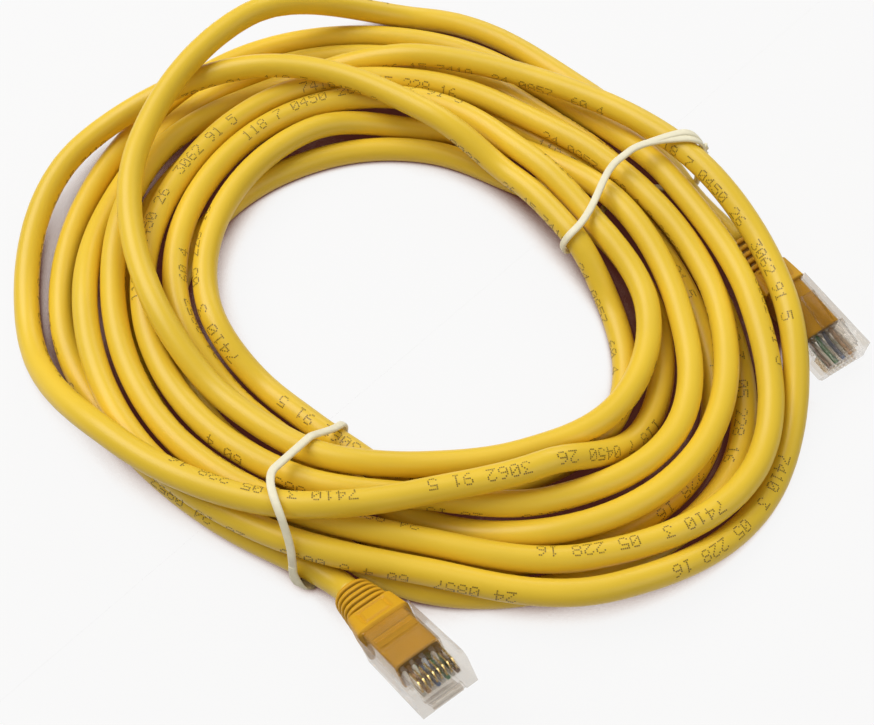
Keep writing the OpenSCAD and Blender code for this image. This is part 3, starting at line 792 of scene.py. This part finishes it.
class CABLE_OT_boots(bpy.types.Operator):
    """Both boots, ribbed neck, block and the tongue inside the plug"""

    bl_idname = "cable.boots"
    bl_label = "Boots"

    def execute(self, context):
        material = boot_material()
        for end in PLUGS:
            skin, unshaded_share = self.skin()
            boot = grid_object(end + "_boot_moulding", plug_place(end, skin) * MM, material,
                               uv_rows=unshaded_share)
            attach(boot, BODY)
            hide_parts(end + "_boot")
        return {"FINISHED"}

    def skin(self):
        """Rings of a superellipse whose half sizes follow neck, ribs, block and tongue.

        A rib is a rounded swelling 1 - u^4 of the neck, and a pressed frame lowers the block.
        Each ring comes with the share by which it stands out of the grooves, 0 at the bottom of a groove;
        the boot's material paints shade by it.
        """
        x = np.concatenate([
            np.linspace(-NECK_L - BLOCK_L, -BLOCK_L - 0.02, 150), np.linspace(-BLOCK_L, -BLOCK_L + 0.6, 10),
            np.linspace(-BLOCK_L + 0.7, -0.5, 30), np.linspace(-0.4, 0.0, 8), [0.01],
            np.linspace(0.05, TONGUE_L - 0.3, 20), np.linspace(TONGUE_L - 0.25, TONGUE_L, 6)])
        on_neck = x < -BLOCK_L
        inside = x > 0
        on_block = ~on_neck & ~inside

        share = np.clip((x + NECK_L + BLOCK_L) / NECK_L, 0, 1)
        neck_wide = 3.05 + 0.6 * share
        neck_tall = 3.0 + 0.1 * share
        rib_wide = 4.05 + 0.8 * share
        rib_tall = 3.6 + 0.15 * share
        pitch = (NECK_L - RIB_T - RIB_END) / (RIBS - 1)
        rib_x = -NECK_L - BLOCK_L + RIB_T / 2 + pitch * np.arange(RIBS)
        u = np.abs(x[:, None] - rib_x[None, :]) / (RIB_T / 2)
        swell = np.max(np.sqrt(np.clip(1 - u ** 4, 0, 1)), axis=1)
        wide = np.where(on_neck, neck_wide + (rib_wide - neck_wide) * swell,
                        5.0 + 0.6 * (x + BLOCK_L) / BLOCK_L)
        tall = np.where(on_neck, neck_tall + (rib_tall - neck_tall) * swell, 3.7)

        left = np.clip(BLOCK_ROUND - (x + BLOCK_L), 0, BLOCK_ROUND)
        inset = BLOCK_ROUND - np.sqrt(np.clip(BLOCK_ROUND ** 2 - left ** 2, 0, None))
        wide = np.where(on_block, wide - inset, wide)
        tall = np.where(on_block, tall - inset, tall)

        round_end = np.clip((x - TONGUE_L + TONGUE_ROUND) / TONGUE_ROUND, 0, 1)
        wide = np.where(inside, TONGUE_HALF[0] - TONGUE_ROUND * round_end ** 2, wide)
        tall = np.where(inside, TONGUE_HALF[1] - TONGUE_ROUND * round_end ** 2, tall)
        power = np.where(inside, 9.0, np.where(on_neck, 2.3 + 1.6 * share, 7.0))
        turn = np.linspace(0, 2 * np.pi, 112, endpoint=False)
        c = np.cos(turn)[None, :]
        s = np.sin(turn)[None, :]
        n = power[:, None]
        reach = (np.abs(c / wide[:, None]) ** n + np.abs(s / tall[:, None]) ** n) ** (-1 / n)
        y = reach * c
        z = reach * s
        grid_x = np.repeat(x[:, None], len(turn), axis=1)

        def within(half_x, half_y):
            by_x = (half_x - np.abs(grid_x + BLOCK_L / 2)) / FRAME_EDGE
            by_y = (half_y - np.abs(y)) / FRAME_EDGE
            return smooth(by_x + 0.5) * smooth(by_y + 0.5)

        groove = within(*FRAME_OUTER) - within(*FRAME_INNER)
        z = z - np.sign(z) * FRAME_DEPTH * groove * (np.abs(z) > 2.6)
        z = np.where((grid_x > DENT[0]) & (grid_x < DENT[1]), np.minimum(z, DENT_Z), z)
        # The rib share that the boot's material turns into painted shade in the grooves.
        unshaded_share = np.where(on_neck, swell, 1.0)
        return np.stack([grid_x, y, z], axis=-1), unshaded_share


class CABLE_OT_plugs(bpy.types.Operator):
    """Finishes for the clear housings and what they hold"""

    bl_idname = "cable.plugs"
    bl_label = "Plugs"

    def execute(self, context):
        clear = clear_material()
        gold = gold_material()
        jacket = inner_jacket_material()
        wires = [wire_material(slot, "white" in slot) for slot in WIRE_SLOTS]
        finish = {"housing": clear, "latch": clear, "strain_bar": clear, "wire_guide": clear,
                  "contacts": gold, "cable_end": jacket}
        finish.update({"wire_%d" % (k + 1): wires[k] for k in range(len(wires))})
        for end in PLUGS:
            for piece, material in finish.items():
                obj = frame["nodes"][end + "_" + piece]
                obj.data.materials.clear()
                obj.data.materials.append(material)
        return {"FINISHED"}


class TieLine:
    """A tie's closed line round the turns, in mm, with its outward and sideways vectors."""

    def __init__(self, tie, margin, floor):
        r, z = bundle_at(tie)
        flat = hull_outline(r, z, margin, floor)
        angle = tie + tie_slant(tie, flat[:, 0])
        spots = polar(angle, flat[:, 0], flat[:, 1])
        ahead = np.roll(spots, -1, axis=0) - np.roll(spots, 1, axis=0)
        self.length = np.linalg.norm(ahead, axis=1).sum() / 2
        ahead = unit(ahead)
        step = np.roll(flat, -1, axis=0) - np.roll(flat, 1, axis=0)
        a = np.radians(angle)
        away = np.stack([-step[:, 1] * np.cos(a), step[:, 1] * np.sin(a), -step[:, 0]], axis=1)
        out = unit(away - np.sum(away * ahead, axis=1, keepdims=True) * ahead)
        self.table = np.concatenate([spots, out, np.cross(ahead, out)], axis=1)

    def rings(self, s, half_w, half_t, shift=0.0, rise=0.0, turn=0.0):
        """Rings of a superellipse at distances s from the outermost point, over the top.

        Each ring is moved sideways by shift and outwards by rise, and turned in its own plane.
        """
        count = len(self.table)
        spread = np.linspace(-self.length, 2 * self.length, 3 * count, endpoint=False)
        rows = np.stack([np.interp(s, spread, np.tile(self.table[:, k], 3)) for k in range(9)], axis=1)
        spot = rows[:, :3]
        out = unit(rows[:, 3:6])
        across = unit(rows[:, 6:])
        one = np.ones(len(s))
        spot = spot + (shift * one)[:, None] * across + (rise * one)[:, None] * out
        around = np.linspace(0, 2 * np.pi, 20, endpoint=False)
        c = np.cos(around)[None, :]
        d = np.sin(around)[None, :]
        w = (half_w * one)[:, None]
        t = (half_t * one)[:, None]
        reach = (np.abs(c / w) ** 3 + np.abs(d / t) ** 3) ** (-1 / 3)
        ct = np.cos(turn * one)[:, None]
        st = np.sin(turn * one)[:, None]
        u = reach * (c * ct - d * st)
        v = reach * (c * st + d * ct)
        points = spot[:, None, :] + u[..., None] * across[:, None, :] + v[..., None] * out[:, None, :]
        points[..., 2] = np.maximum(points[..., 2], 0.02)
        return points


class CABLE_OT_ties(bpy.types.Operator):
    """Both ties round the bundle"""

    bl_idname = "cable.ties"
    bl_label = "Ties"

    def execute(self, context):
        material = tie_material()
        steel = steel_material()
        half_w = settings().tie_w / MM / 2
        half_t = settings().tie_t / MM / 2
        margin = CABLE_D / 2 + TIE_GAP + TIE_REST
        f = np.linspace(0, 1, 60)
        hump = np.sin(np.pi * f)
        for name, tie in (("right", RIGHT_TIE), ("left", LEFT_TIE)):
            line = TieLine(tie, margin, half_t + 0.02)
            loop = line.rings(np.linspace(0, line.length, 260, endpoint=False), half_w, half_t)
            if name == "right":
                # The doubled lap over the top, and the two ends twisted about each other.
                laps = [line.rings(8 + 19 * f, half_w, half_t * 0.8, 1.5 * hump ** 2, 0.35 * hump),
                        line.rings(7.5 + 5 * f, 0.5 + 0.35 * hump, 0.45, 0.3, 0.75, 9.0 * f),
                        line.rings(8.5 + 5 * f, 0.5 + 0.35 * hump, 0.45, -0.2, 0.7, 9.0 * f + 1.6)]
            else:
                # One flattened end that lies beside the loop.
                wide = half_w + 0.9 * smooth((1 - f) / 0.6)
                laps = [line.rings(11 * f - 6, wide, half_t * 0.8, 3.2 * smooth(1 - f),
                                   0.5 * hump + 0.2)]
            band = grids_object(name + "_tie_band", loop * MM, [lap * MM for lap in laps], material)
            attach(band, BODY)
            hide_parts(name + "_tie_sheath")
            core = frame["nodes"][name + "_tie_core"]
            core.data.materials.clear()
            core.data.materials.append(steel)
        return {"FINISHED"}


class CABLE_PT_panel(bpy.types.Panel):
    """Lists the pieces"""

    bl_idname = "CABLE_PT_panel"
    bl_label = "Patch cable"
    bl_space_type = "VIEW_3D"
    bl_region_type = "UI"
    bl_category = "Cable"

    def draw(self, context):
        for operator in OPERATORS:
            self.layout.operator(operator.bl_idname)
        for name in CableSettings.__annotations__:
            self.layout.prop(context.scene.patch_cable, name)


OPERATORS = (CABLE_OT_stage, CABLE_OT_jacket, CABLE_OT_boots, CABLE_OT_plugs, CABLE_OT_ties)
CLASSES = (CableSettings,) + OPERATORS + (CABLE_PT_panel,)


def register():
    for cls in CLASSES:
        bpy.utils.register_class(cls)
    bpy.types.Scene.patch_cable = PointerProperty(type=CableSettings)


def unregister():
    del bpy.types.Scene.patch_cable
    for cls in reversed(CLASSES):
        bpy.utils.unregister_class(cls)


def main():
    register()
    bpy.ops.cable.stage()
    bpy.ops.cable.jacket()
    bpy.ops.cable.boots()
    bpy.ops.cable.plugs()
    bpy.ops.cable.ties()


if __name__ == "__main__":
    main()
